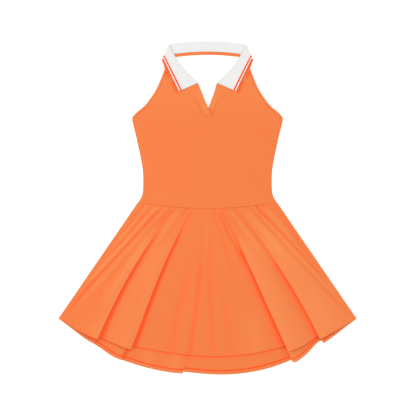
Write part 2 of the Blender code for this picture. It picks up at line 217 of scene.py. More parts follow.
class Finish:
    # a material with its Principled shader, and one way to add any other node
    def __init__(self, name, roughness, sheen, specular):
        self.material = bpy.data.materials.new(name)
        self.material.use_nodes = True
        self.tree = self.material.node_tree
        self.shader = self.tree.nodes["Principled BSDF"]
        self.fill(self.shader, {"Roughness": roughness, "Sheen Weight": sheen, "Sheen Roughness": 0.55})
        self.fill(self.shader, {"Specular IOR Level": specular})

    def fill(self, node, sockets):
        # links or sets a node's sockets, by their names or places
        for key, item in sockets.items():
            if isinstance(item, Value):
                self.tree.links.new(item.socket, node.inputs[key])
            else:
                node.inputs[key].default_value = item

    def node(self, kind, settings, sockets):
        node = self.tree.nodes.new(kind)
        for key, setting in settings.items():
            setattr(node, key, setting)
        self.fill(node, sockets)
        return node

    def value(self, node, output=0):
        return Value(self, node.outputs[output])

    def mixed(self, factor, a, b):
        # 6, 7 and output 2 are the node's colour sockets
        return self.value(self.node("ShaderNodeMix", {"data_type": "RGBA"}, {0: factor, 6: a, 7: b}), 2)

    def noise(self, vector, scale):
        sockets = {"Vector": vector, "Scale": scale, "Detail": 2.0}
        return self.value(self.node("ShaderNodeTexNoise", {}, sockets))

    def clothPlaces(self):
        # a point's place in the flat cloth, as a vector and as two lengths, and the painted shading there
        cut = self.value(self.node("ShaderNodeAttribute", {"attribute_name": "cut"}, {}), "Vector")
        parts = self.node("ShaderNodeSeparateXYZ", {}, {"Vector": cut})
        paintedShading = self.value(self.node("ShaderNodeAttribute", {"attribute_name": "paintedShading"}, {}), "Fac")
        return cut, self.value(parts, 0), self.value(parts, 1), paintedShading

    def dress(self, colour, height, strength, relief):
        sockets = {"Strength": strength, "Distance": relief * mm, "Height": height}
        bump = self.node("ShaderNodeBump", {}, sockets)
        self.fill(self.shader, {"Base Color": colour, "Normal": self.value(bump)})
        return self.material


knitLook = {
    "colour": (0.80, 0.180, 0.0425, 1.0),
    "grain": (0.815, 0.194, 0.049, 1.0),
    # the orange in painted shade, and below it the orange in painted highlight
    "paintedShadeColour": (1.0, 0.088, 0.008, 1.0),
    "pale": (0.86, 0.264, 0.083, 1.0),
    "roughness": 0.82,
    "sheen": 0.12,
    "specular": 0.25,
    "wale": 0.75,
    "course": 0.62,
    "relief": 0.10,
    "bump": 0.35,
    "ribHeight": 0.6,
    "courseHeight": 0.2,
    "grainHeight": 0.35,
    "grainScale": 900.0,
    "grainShare": 0.7,
    "cloudScale": 14.0,
    "cloudShare": 0.4,
    "patchFrom": 0.05,
}


def knitMaterial(name, look):
    finish = Finish(name, look["roughness"], look["sheen"], look["specular"])
    cut, across, along, paintedShading = finish.clothPlaces()
    u, v = across / (look["wale"] * mm), along / (look["course"] * mm)
    # V shaped loops: ribs up the cloth, with courses that dip towards each rib's middle
    rib = (u * math.pi).sine().size()
    lean = (u.fraction() - 0.5).size()
    loops = rib * look["ribHeight"] + ((v + lean) * (2 * math.pi)).sine() * look["courseHeight"]
    grain = finish.noise(cut, look["grainScale"])
    cloud = finish.noise(cut, look["cloudScale"])
    patches = grain * look["grainShare"] + cloud * look["cloudShare"] - look["patchFrom"]
    base = finish.mixed(patches, look["colour"], look["grain"])
    # painted highlight where the painted shading is below 0, painted shade where it is above 0
    ridges = finish.mixed(0.0 - paintedShading, base, look["pale"])
    colour = finish.mixed(paintedShading, ridges, look["paintedShadeColour"])
    return finish.dress(colour, loops + grain * look["grainHeight"], look["bump"], look["relief"])


ribLook = {
    "colour": (0.785, 0.785, 0.778, 1.0),
    "shade": (0.70, 0.70, 0.695, 1.0),
    "stripe": (0.93, 0.092, 0.004, 1.0),
    # the grey of the painted shade along the collar's roll
    "fold": (0.60, 0.60, 0.60, 1.0),
    "roughness": 0.86,
    "sheen": 0.1,
    "specular": 0.2,
    "rib": 1.25,
    "row": 0.9,
    "relief": 0.35,
    "bump": 0.5,
    "rowHeight": 0.15,
    "grainHeight": 0.2,
    "grainScale": 700.0,
    "grainShare": 0.25,
    "stripeFrom": 3.1,
    "stripeTo": 7.5,
    "stripeSoft": 0.3,
}


def ribMaterial(name, look):
    finish = Finish(name, look["roughness"], look["sheen"], look["specular"])
    cut, along, fromEdge, paintedShading = finish.clothPlaces()
    u, v = along / (look["rib"] * mm), fromEdge / mm
    ribs = (u * math.pi).sine().size()
    rows = (v * (2 * math.pi / look["row"])).sine()
    stripe = v.over(look["stripeFrom"], look["stripeSoft"]) - v.over(look["stripeTo"], look["stripeSoft"])
    grain = finish.noise(cut, look["grainScale"])
    white = finish.mixed(grain * look["grainShare"], look["colour"], look["shade"])
    # painted shade, grey, along the collar's roll
    white = finish.mixed(paintedShading, white, look["fold"])
    height = ribs + rows * look["rowHeight"] + grain * look["grainHeight"]
    return finish.dress(finish.mixed(stripe, white, look["stripe"]), height, look["bump"], look["relief"])


insideLook = dict(knitLook, colour=(0.805, 0.176, 0.041, 1.0), wale=0.9, relief=0.12)
threadLook = dict(knitLook, colour=(0.82, 0.22, 0.07, 1.0), grain=(0.84, 0.25, 0.085, 1.0))
threadLook.update(roughness=0.6, sheen=0.0)
orangeKnit = knitMaterial("orangeKnit", knitLook)
orangeInside = knitMaterial("orangeInside", insideLook)
orangeThread = knitMaterial("orangeThread", threadLook)
whiteRib = ribMaterial("whiteRib", ribLook)
print("materials made")

# the lines and levels that the pieces share
cloth = {
    "wall": 0.9,
    "seamGap": 0.1,
    "bandGap": 0.02,
    "mergeWithin": 0.01,
    "waistLap": 0.12,
    # painted shade along the seams
    "seamShade": 0.3,
    "seamShadeWidth": 2,
    "seamRoll": 0.3,
    "seamRollWidth": 2.6,
}
levels = {
    "back": 0.46,
    "front": 2.2,
    "side": 1.38,
    "strap": 4.35,
    "crown": 1.9,
    "strapFrom": 225,
    "strapRise": 75,
}
waist = {"half": 175.5, "middleY": -2.2, "sideRise": 16}


def waistY(x):
    return waist["middleY"] + waist["sideRise"] * (x / waist["half"]) ** 2


def chestCrown(x):
    return levels["crown"] * np.maximum(0.0, 1.0 - (x / waist["half"]) ** 2)


def frontLevel(x, y):
    # middle of the front's wall: crowned over the chest, higher at the straps
    rise = smooth((y - levels["strapFrom"]) / levels["strapRise"])
    return levels["front"] + chestCrown(x) * (1.0 - rise) + (levels["strap"] - levels["front"]) * rise


def seamDip(distance):
    # how far a panel's edge turns down into a seam, by its distance from the seam
    return -cloth["seamRoll"] * near(distance, cloth["seamRollWidth"])


def seamShade(distance):
    # painted shade along a seam, fading with the distance from it
    return cloth["seamShade"] * near(distance, cloth["seamShadeWidth"])


armhole = {
    "points": [
        (190, 231.6), (178, 243.8), (159.6, 259.2), (146, 276), (131, 299),
        (121.6, 319), (114, 338), (108.8, 353), (112.4, 366), (116.4, 377),
    ],
    "underarm": [(190.5, 219.2), (191.2, 223.6), (191, 228.2), (190, 231.6)],
    "cornerShare": 0.05,
    "cornerPull": 0.08,
    "binding": 6,
}


def armholePoint(t, inset):
    at, before, after = (alongPoints(armhole["points"], t + step) for step in (0.0, -probe, probe))
    dx, dy = unit(after - before)
    return at + np.array((-dy, dx)) * inset


def bindingPoint(t, inset):
    # as armholePoint, and below 0 the binding turns round the underarm corner to the side seam
    if t >= 0.0:
        return armholePoint(t, inset)
    turned = -t / armhole["cornerShare"]
    inner, start = armholePoint(0.0, armhole["binding"]), armhole["underarm"][0]
    inner = mixPoint(inner, start, armhole["cornerPull"] * turned)
    outer = alongPoints(armhole["underarm"], 1.0 - turned)
    return mixPoint(outer, inner, inset / armhole["binding"])


collar = {
    "rollFront": (23.9, 317.6),
    "rollBend": (72.3, 357.4),
    "sideNeck": (100.3, 413.4),
    "leafTip": (72.1, 295.8),
    "leafSide": (115.1, 380.4),
    "fallOffset": 2.7,
    "standOffset": 0.9,
    "coreLevel": 3.45,
    "standFront": 5,
    "standBack": 26,
    "standEase": 0.8,
    "backFall": 32.5,
    "backTopY": 422.8,
    "backTopSag": 7.6,
    "backTopHalf": 97.8,
    "backTiltDeg": 7.2,
    "backTiltX": 78,
    "backSettleX": 90,
    "backStartX": 92,
    "wall": 1.5,
    "leafLift": 1.3,
    "leafLiftReach": 26,
    "leafLiftFall": (30, 12),  # the width of fall from which the leaf lifts, and over how much more
    "cornerLift": 2.6,
    "rollShade": 0.25,
    "rollShadeWidth": 2.6,
    "frontEnd": 0.98,
    "frontStations": 64,
    "cornerStations": 14,
    "backStations": 40,
    "fallSteps": 18,
    "rollSteps": 8,
    "standSteps": 8,
}
sideNeck, leafSide = np.array(collar["sideNeck"]), np.array(collar["leafSide"])
sideDown = unit(leafSide - sideNeck)
sideOut = np.array((-sideDown[1], sideDown[0]))
sideFold = math.dist(leafSide, sideNeck)
sideAxis = sideNeck - sideOut * (collar["fallOffset"] + collar["wall"] / 2)
sideAxisEnd = sideAxis + sideDown * sideFold


def collarStation(at, down, turn, fall, stand):
    # a place along the roll: which way the fall runs down, the roll's turn, and the widths of fall and stand
    return {"at": at, "down": down, "turn": turn, "fall": fall, "stand": stand}


def frontStation(s):
    inner = mixPoint(collar["rollFront"], collar["rollBend"], s)
    roll = mixPoint(inner, mixPoint(collar["rollBend"], sideAxis, s), s)
    edge = mixPoint(collar["leafTip"], sideAxisEnd, s)
    stand = mix(collar["standFront"], collar["standBack"], s ** collar["standEase"])
    return collarStation(roll, unit(edge - roll), math.pi / 2, math.dist(edge, roll), stand)


def cornerStation(turn):
    lift = collar["cornerLift"] * (1.0 - math.sin(turn)) / 2.0
    return collarStation(sideAxis - sideDown * lift, sideDown, turn, sideFold, collar["standBack"])


def backStation(x):
    blend = float(smooth((x - collar["backTiltX"]) / (sideAxis[0] - collar["backTiltX"])))
    top = collar["backTopY"] - collar["backTopSag"] * (x / collar["backTopHalf"]) ** 2
    tilt = -math.radians(collar["backTiltDeg"]) * min(x / collar["backTiltX"], 1.0)
    down = unit(mixPoint((math.sin(tilt), -math.cos(tilt)), sideDown, blend))
    corner = cornerStation(-math.pi / 2)["at"]
    late = float(smooth((x - collar["backSettleX"]) / (corner[0] - collar["backSettleX"])))
    at = np.array((x, mix(top, corner[1], late)))
    fall = mix(collar["backFall"], sideFold, blend)
    return collarStation(at, down, -math.pi / 2, fall, collar["standBack"])


def stationPoint(station, width, offset):
    x, y = station["at"] + station["down"] * width + sideOut * (offset * math.cos(station["turn"]))
    return x, y, collar["coreLevel"] + offset * math.sin(station["turn"])


def neckSeamPoint(s, gap):
    station = frontStation(s)
    return stationPoint(station, station["stand"] + gap, collar["standOffset"])[:2]


def collarProfile(station):
    # (width, offset) across the rib, from the leaf's edge over the roll to the seam, and how far that is
    radius = (collar["fallOffset"] - collar["standOffset"]) / 2
    middle = (collar["fallOffset"] + collar["standOffset"]) / 2
    places = []
    for i in range(collar["fallSteps"]):
        places.append((mix(station["fall"], radius, i / collar["fallSteps"]), collar["fallOffset"]))
    for i in range(collar["rollSteps"] + 1):
        angle = math.pi * i / collar["rollSteps"]
        places.append((radius - radius * math.sin(angle), middle + radius * math.cos(angle)))
    for i in range(collar["standSteps"]):
        places.append((mix(radius, station["stand"], (i + 1) / collar["standSteps"]), collar["standOffset"]))
    return places, runAlong(places)


def neckBandProfile(station):
    # the band goes on from the stand's seam
    across = np.linspace(0.0, neckBand["width"], neckBand["columns"] + 1)
    widths = station["stand"] + cloth["seamGap"] + across
    return [(width, collar["standOffset"]) for width in widths], widths


def leafLift(station, edge):
    # the leaf stands off the strap a little towards its edge, less at the side neck
    start, run = collar["leafLiftFall"]
    front = max(math.sin(station["turn"]), 0.0) * smooth((station["fall"] - start) / run)
    return collar["leafLift"] * front * near(edge, collar["leafLiftReach"])


def addStations(shape, stations, profileOf, lift, rollShade):
    points, cut, paintedShading = [], [], []
    run = 0.0
    for row, station in enumerate(stations):
        places, edge = profileOf(station)
        if row:
            last = stations[row - 1]
            run += math.dist(station["at"], last["at"])
            run += abs(station["turn"] - last["turn"]) * collar["fallOffset"]
        line = np.array([stationPoint(station, width, offset) for width, offset in places])
        line[:, 2] += lift(station, edge)
        points.append(line)
        cut.append([(run, distance) for distance in edge])
        paintedShading.append(rollShade * np.exp(-(((edge - station["fall"]) / collar["rollShadeWidth"]) ** 2)))
    for side in (1, -1):
        flat = (np.array(cut) - (run, 0)) * (side, 1)
        addGrid(shape, np.array(points) * (side, 1, 1), np.array(paintedShading), flat)


neckBand = {"width": 8, "columns": 6, "wall": 1.1}
frontStations = [frontStation(s) for s in np.linspace(0.0, collar["frontEnd"], collar["frontStations"])]
turns = np.linspace(math.pi / 2, -math.pi / 2, collar["cornerStations"])
backStations = [cornerStation(turn) for turn in turns]
backStations += [backStation(x) for x in np.linspace(collar["backStartX"], 0.0, collar["backStations"])]
shape = bmesh.new()
addStations(shape, frontStations + backStations, collarProfile, leafLift, collar["rollShade"])
collarPiece = finishPiece("collar", shape, whiteRib, collar["wall"], "collar", merge=True)
shape = bmesh.new()
addStations(shape, backStations, neckBandProfile, lambda station, edge: 0.0, 0.0)
neckBandPiece = finishPiece("neckBand", shape, orangeKnit, neckBand["wall"], "neck_band", merge=True)
print("collar made")

bodice = {
    "inner": [
        (0, -2.02), (0, 28), (0, 62), (0, 98), (0, 134), (0, 168), (0, 198),
        (0, 220), (0, 234.8), (5.6, 234.8),
    ],
    "side": [
        (175.5, 13.98), (165.5, 34), (163.4, 62), (164.3, 94), (169.2, 125), (175.8, 156),
        (181.8, 183), (186.6, 202), (189.6, 214.5), (190.4, 219),
    ],
    "waistReach": 95,  # how far up the rows keep the waist seam's bow
    "sideRoll": 9,
    "sideRollTop": (190, 26),
    "notchHalf": 11.4,
    "notchY": 234.8,
    "bandCorner": 0.17,
    "strapPale": 0.22,
    "strapPaleFrom": (200, 110),
    "columns": 72,
    "waistRows": [0, 0.03, 0.06, 0.1, 0.16, 0.24, 0.36, 0.5],
    "lowerRows": (0.65, 66),  # where the even rows begin, and how many they are
    "cornerRows": (0.35, 0.7),
    "strapRows": 70,
    "backTopMiddleY": 205,
    "backTopSide": (190.2, 219),
    "backWaistRows": [0, 0.004, 0.009, 0.016, 0.028],
    "backRows": (0.045, 60),  # the same for the back
}
leafShade = []
for side in (-1, 1):  # the strap is redder in the shade of the collar's leaf
    leafShade += [
        (-0.5, (8, 8), (0.01, 0.2), 12,
         (side * 118, 384), (side * 111, 368), (side * 103, 350), (side * 99, 336), (side * 92, 327)),
        (-0.5, (5.2, 5.2), (0.35, 0.07), 13,
         (side * 90, 333), (side * 85.5, 312), (side * 80, 299), (side * 76.5, 291)),
    ]
bodiceCreases = leafShade + [
    (-0.5, (2.3, 2.3), (0.02, 0.5), 2.4, (-49, 299), (-37, 280), (-25, 262)),
    (-0.5, (2.3, 2.3), (0.02, 0.5), 2.2, (53, 297), (41, 280), (29, 264)),
    (-0.35, (3, 3), (0.02, 0.6), 1.6, (69, 291), (58, 277), (47, 263)),
    (-0.3, (4, 4), (0.05, 0.6), 1, (-76, 292), (-74, 262), (-72, 226)),
    (-0.6, (6, 4), (0.3, 0.6), 1, (156, 209), (139, 198), (118, 192)),
    (-0.4, (4, 5), (0.3, 0.6), 1, (160, 196), (147, 188), (134, 184)),
    (-0.35, (6, 5), (0.3, 0.6), 1, (-158, 200), (-140, 191), (-122, 187)),
    (-0.3, (9, 7), (0.3, 0.6), 1, (-150, 60), (-120, 66), (-84, 62)),
    (-0.3, (7, 9), (0.3, 0.6), 1, (152, 74), (126, 78), (96, 72)),
    (0.3, (8, 8), (0.3, 0.5), 1, (-140, 22), (-118, 30), (-90, 31)),
    (-0.3, (9, 9), (0.3, 0.5), 1, (-118, 230), (-98, 214), (-88, 190)),
    (-0.3, (9, 9), (0.3, 0.5), 1, (110, 250), (90, 226), (84, 200)),
]
backBodiceCreases = [
    (0.5, (7, 9), (0.3, 0.6), 1, (-130, 190), (-96, 176), (-60, 172)),
    (0.45, (9, 7), (0.3, 0.6), 1, (140, 160), (100, 152), (64, 158)),
    (0.5, (8, 8), (0.3, 0.6), 1, (-150, 70), (-108, 62), (-66, 66)),
    (0.4, (8, 8), (0.3, 0.6), 1, (150, 46), (112, 56), (70, 54)),
    (0.35, (10, 10), (0.2, 0.6), 1, (20, 24), (26, 60), (22, 100)),
]
bandSeamTop = neckSeamPoint(bodice["bandCorner"], cloth["seamGap"])


def bandSeamPoint(y, gap):
    t = (y - bodice["notchY"]) / (bandSeamTop[1] - bodice["notchY"])
    return (mix(bodice["notchHalf"], bandSeamTop[0], t) + gap, y)


def frontEdges():
    # the inner and the outer edge of the front bodice, waist first, with closer rows at the waist
    spans = len(bodice["side"]) - 1
    inner, outer = [], []
    start, count = bodice["lowerRows"]
    for r in bodice["waistRows"] + list(np.linspace(start, spans, count)):
        inner.append(alongLine(bodice["inner"], r / spans))
        outer.append(alongPoints(bodice["side"], r / spans))
    strapInner, strapOuter = [], []
    for t in np.linspace(0.0, 1.0, bodice["strapRows"]):
        strapOuter.append(armholePoint(t, armhole["binding"] + cloth["seamGap"]))
        if t <= 0.5:
            strapInner.append(bandSeamPoint(mix(bodice["notchY"], bandSeamTop[1], 2 * t), cloth["bandGap"]))
        else:
            s = mix(bodice["bandCorner"], collar["frontEnd"], 2 * t - 1.0)
            strapInner.append(neckSeamPoint(s, cloth["seamGap"]))
    for t in bodice["cornerRows"]:  # the underarm corner
        inner.append(mixPoint(bodice["inner"][-1], strapInner[0], t))
        outer.append(mixPoint(bodice["side"][-1], strapOuter[0], t))
    return np.array(inner + strapInner), np.array(outer + strapOuter)


def strapTone(y):
    # a little paler towards the straps
    start, run = bodice["strapPaleFrom"]
    return -bodice["strapPale"] * smooth((y - start) / run)


def addHalves(name, x, y, z, paintedShading, creases, node):
    # a bodice panel from its right half, with the creases of each side
    shape = bmesh.new()
    for side in (1, -1):
        creased, tinted = addCreases(z, paintedShading, side * x, y, creases)
        addGrid(shape, np.stack([side * x, y, creased], axis=-1), tinted)
    return finishPiece(name, shape, orangeKnit, cloth["wall"], node, merge=True)


def buildFrontBodice():
    inner, outer = frontEdges()
    u = np.linspace(0.0, 1.0, bodice["columns"] + 1)[None, :]
    x = mix(inner[:, :1], outer[:, :1], u)
    y = mix(inner[:, 1:], outer[:, 1:], u)
    fromWaist = np.clip(mix(inner[:, 1:], outer[:, 1:], 0.5) / bodice["waistReach"], 0.0, 1.0)
    y = y + (waistY(x) - mix(waistY(0.0), waistY(waist["half"]), u)) * (1.0 - fromWaist)
    fromSide = np.hypot(outer[:, :1] - x, outer[:, 1:] - y)
    top, run = bodice["sideRollTop"]
    low = near(fromSide, bodice["sideRoll"]) * near(y - top, run)
    z = mix(frontLevel(x, y) + seamDip(y - waistY(x)), levels["side"], low)
    paintedShading = seamShade(y - waistY(x)) + strapTone(y)
    return addHalves("frontBodice", x, y, z, paintedShading, bodiceCreases, "front_bodice")


def buildBackBodice():
    start, count = bodice["backRows"]
    rows = np.concatenate([bodice["backWaistRows"], np.linspace(start, 1.0, count)])
    outer = np.array([alongPoints(bodice["side"][:-1] + [bodice["backTopSide"]], r) for r in rows])
    u = np.linspace(0.0, 1.0, bodice["columns"] + 1)[None, :]
    middle = mix(waist["middleY"] + cloth["seamGap"] / 2, bodice["backTopMiddleY"], rows)[:, None]
    x = outer[:, :1] * u
    y = middle + (outer[:, 1:] - middle) * u * u
    flat = np.zeros(x.shape)
    piece = addHalves("backBodice", x, y, flat + levels["back"], flat, backBodiceCreases, "back_bodice")


frontBodicePiece = buildFrontBodice()
buildBackBodice()
print("bodice made")

placket = {
    # up each band: y at the seam, x and y of the free edge, and how far the band lies over or under the other
    "over": [
        (235.2, -11.9, 235.2, 1), (243.5, -7.6, 244.2, 1), (255.5, -0.8, 256, 1),
        (272.2, 6, 271.8, 0.3), (289, 12.4, 287.5, 0), (307.5, 18.6, 303, 0),
    ],
    "under": [
        (235.2, -4.2, 235.2, -1), (243.5, -0.9, 244.2, -1), (255.5, 3.5, 256, -0.9),
        (272.2, 9.2, 271.8, -0.2), (289, 14.9, 287.5, 0), (307.5, 20.1, 303, 0),
    ],
    "innerTop": (23.3, 316.2),
    "topCorner": 0.75,  # where the band's top turns from the collar's seam to its end, across the band
    "wall": 1.1,
    "columns": 22,
    "rows": 66,
    "edgeDip": 0.05,
    "edgeWidth": 1.6,
    "edgeShade": 0.3,
    "edgeShadeWidth": 1.4,
    "pale": 0.18,
    "overShade": 0.9,
    "overShadeWidth": 2.2,
    "overShadeTop": (252, 8),
    "stitchColumn": 2,
}


def placketPoint(rows, side, u, r):
    # u runs from the seam to the free edge, r up the band from 0 to 1
    place = r * len(rows)
    last = len(rows) - 1
    outerY, innerX, innerY, lift = alongPoints(rows, place / last) if place <= last else rows[-1]
    x, y = mixPoint(bandSeamPoint(outerY, 0.0), (innerX, innerY), u)
    if place > last:
        corner = placket["topCorner"]
        if u <= corner:
            top = neckSeamPoint(bodice["bandCorner"] * (1.0 - u / corner), cloth["seamGap"])
        else:
            end = neckSeamPoint(0.0, cloth["seamGap"])
            top = mixPoint(end, placket["innerTop"], (u - corner) / (1.0 - corner))
        x, y = mixPoint((x, y), top, place - last)
        lift = lift * (1.0 - (place - last))
    return side * x, y, float(frontLevel(x, y)) + lift


def buildPlacket(name, rows, side, node):
    across = np.linspace(0.0, 1.0, placket["columns"] + 1)
    up = np.linspace(0.0, 1.0, placket["rows"] + 1)
    points = np.array([[placketPoint(rows, side, u, r) for u in across] for r in up])
    fromSeam = np.linalg.norm((points - points[:, :1])[..., :2], axis=-1)
    fromFree = np.linalg.norm((points - points[:, -1:])[..., :2], axis=-1)
    inset = np.minimum(fromSeam, fromFree)
    points[..., 2] -= placket["edgeDip"] * near(inset, placket["edgeWidth"])
    paintedShading = strapTone(points[..., 1]) - placket["pale"]
    # painted shade along both edges of the band
    paintedShading += placket["edgeShade"] * near(inset, placket["edgeShadeWidth"])
    if side < 0:  # the band that lies over shades the other below the V
        top, run = placket["overShadeTop"]
        low = near(points[..., 1] - top, run)
        paintedShading += placket["overShade"] * near(fromFree, placket["overShadeWidth"]) * low
    shape = bmesh.new()
    addGrid(shape, points, paintedShading)
    piece = finishPiece(name, shape, orangeKnit, placket["wall"], node)
    return points


overPoints = buildPlacket("placketOver", placket["over"], -1, "placket_over")
underPoints = buildPlacket("placketUnder", placket["under"], 1, "placket_under")

binding = {
    "columns": 8,
    "rows": 116,
    "wall": 1.5,
    "edgeDip": 0.35,
    "edgeWidth": 1.4,
    "seamShade": 0.16,
    "seamShadeFrom": 2,
    "seamShadeRun": 1.5,
}


def buildBinding(name, side, node):
    inset = np.linspace(0.0, armhole["binding"], binding["columns"] + 1)
    points = []
    for place in np.linspace(-armhole["cornerShare"], 1.0, binding["rows"] + 1):
        line = np.array([bindingPoint(place, across) for across in inset])
        points.append(np.stack([side * line[:, 0], line[:, 1], frontLevel(line[:, 0], line[:, 1])], axis=-1))
    points = np.array(points)
    fromEdge = np.minimum(inset, armhole["binding"] - inset)
    points[..., 2] -= binding["edgeDip"] * near(fromEdge, binding["edgeWidth"])
    cut = flatPlaces(inset, runAlong(points[:, 0]))
    # painted shade along the seam at the band's inner side
    past = inset - armhole["binding"] + binding["seamShadeFrom"]
    paintedShading = strapTone(points[..., 1]) + binding["seamShade"] * smooth(past / binding["seamShadeRun"])
    points[..., 2], paintedShading = addCreases(points[..., 2], paintedShading, points[..., 0], points[..., 1], leafShade)
    shape = bmesh.new()
    addGrid(shape, points, paintedShading, cut)
    return finishPiece(name, shape, orangeKnit, binding["wall"], node), points


leftPiece, leftBinding = buildBinding("armholeBindingLeft", -1, "armhole_binding_left")
rightPiece, rightBinding = buildBinding("armholeBindingRight", 1, "armhole_binding_right")
print("bands made")

skirt = {
    "topHalf": 176.5,
    "hemCorner": (379.3, -282),
    "turnSteps": 9,
    "runSteps": 4,
    "squareBy": 0.2,
    "cell": 5,
    "cellsAround": 3,
    "reach": 85,
    "crownPeak": 13,
    "crownFall": 48,
    "grownBy": 2.8,
    "spacing": 0.07,  # how much closer the columns lie beside the folds
    "wavePeak": 0.76,
    "edgeSlope": 0.82,
    "creaseEdge": 14,
    "sideRoll": 11,
    "seamEdge": 5,
    "softBend": 0.04,
    "rollHighlightFrom": (0.04, 0.3),  # where along a fold the painted highlight on its roll begins, and over how much
    "hollowRun": 0.65,
    "hollowAtWaist": 0.6,
    "rim": (2.5, 1.4),  # how a fold turns from painted shade in its hollow to painted highlight on its roll, by height
    "waistRows": [0, 0.0022, 0.0046, 0.0075, 0.011, 0.016],
    "rowsBetween": (0.023, 0.008),  # where the even rows begin, and how far before the hem's they end
}


def foldTable(*rows):
    # each fold: its x at the waist, its place at the hem, its bow and skew, the side of its upper layer,
    # the depth of its lower one, the hem's jog there, the size of its roll, the share of the panel's
    # length before it starts, the painted highlight on its roll, and the painted shade in the hollow beside
    # it
    keys = ("waist", "hem", "bulge", "skew", "over", "depth", "jog", "size", "late", "rollHighlight", "hollowShade")
    return [dict(zip(keys, row)) for row in rows]


frontSkirt = {
    "folds": foldTable(
        (-79.2, (-278.6, -333.1), -16.8, -3, "left", 1, 6.5, 1, 0.13, (0.5, 24), (1, 10, 2.4)),
        (-38.6, (-194.6, -359.8), -9.1, -4.5, "left", 1, 4.5, 1, 0.11, (0.35, 60), (1, 10, 2.4)),
        (39.9, (204.8, -364.8), 0, 0, "right", 1.2, 14, 1, 0.22, (0.5, 75), (1, 5, 7)),
        (71.6, (285.3, -332.4), 13.3, 0, "right", 1, 13, 1, 0.37, (0.5, 95), (0.9, 4, 9)),
    ),
    "gores": [  # columns, bow of the hem, place of its peak, wave
        (40, -4, 0.6, 0), (32, -2, 0.5, 0), (100, -31, 0.56, 0), (32, -6.5, 0.5, 0),
        (40, -1.5, 0.4, 0),
    ],
    "growth": [  # down, turn in degrees, arc, run
        (0, 0, 1.8, 3), (0.08, 18, 1.9, 3), (0.16, 50, 2, 3), (0.25, 95, 2.1, 3),
        (0.35, 140, 2.3, 3.6), (0.45, 170, 2.5, 5.5), (0.6, 180, 2.8, 9), (1, 180, 3.8, 15),
    ],
    "rows": 112,
    "hemRows": [6, 4, 2.6, 1.8, 1.2, 0.7, 0.3, 0],
    "hemLength": 380,
    "cutLength": 358,
    "hemShade": (0.55, 0, 1.3),  # strength, place and width of the dark line along the hem
    "lift": 5.4,
    "liftBy": 0.5,
    "liftSideRun": 50,
    "sinksFrom": 0.7,  # towards the hem the front sinks on to the back
    "sinksOver": 0.26,
    "restsAbove": 1.5,
    "crown": 2.6,
    "rippleHeight": 3.4,
    "ripplePlace": 0.4,
    "rippleWidth": 0.13,
}
backSkirt = {
    "folds": foldTable(
        (-79.2, (-287.8, -345.6), -12.7, 0, "left", 1, 0, 1, 0, (0.2, 30), (0.5, 2, 5)),
        (-38.6, (-218.9, -386.6), -7.4, 0, "left", 1, 0, 1, 0, (0.2, 30), (0.6, 6, 5)),
        (-8.9, (-63.5, -421.5), 7.1, 0, "left", 1, 4, 0.25, 0, (0.1, 30), (0, 1, 4)),
        (39.9, (217.2, -392.8), 0, 0, "right", 1, 7, 1, 0, (0.4, 40), (0.5, 1, 9)),
        (71.6, (294.4, -344.2), 17.8, 0, "right", 1, 8, 1, 0, (0.4, 40), (0.5, 1, 8)),
    ),
    "gores": [
        (34, -3, 0.7, 0), (22, -3.4, 0.7, 0), (44, -6.5, 0.53, 0), (60, -22.7, 0.54, 0),
        (22, -5.5, 0.32, 6.5), (34, -1, 0.3, 0),
    ],
    "growth": [
        (0, 0, 1.5, 1.5), (0.35, 0, 1.5, 1.5), (0.5, 60, 1.8, 1.5), (0.65, 120, 2.3, 1.2),
        (0.8, 170, 3.1, 2), (1, 180, 3.3, 6),
    ],
    "rows": 90,
    "hemRows": [17, 14.5, 12.6, 11.6, 10.8, 10, 9.2, 8.4, 7.6, 6.4, 4.5, 2.2, 0],
    "hemLength": 405,
    "cutLength": 400,
    "hemShade": (1.5, 9.4, 1.6),
    "underHem": (0.7, 4.4, 6),  # strength and width of the shade under the front's hem, and its reach up
    "crown": 0.8,
}
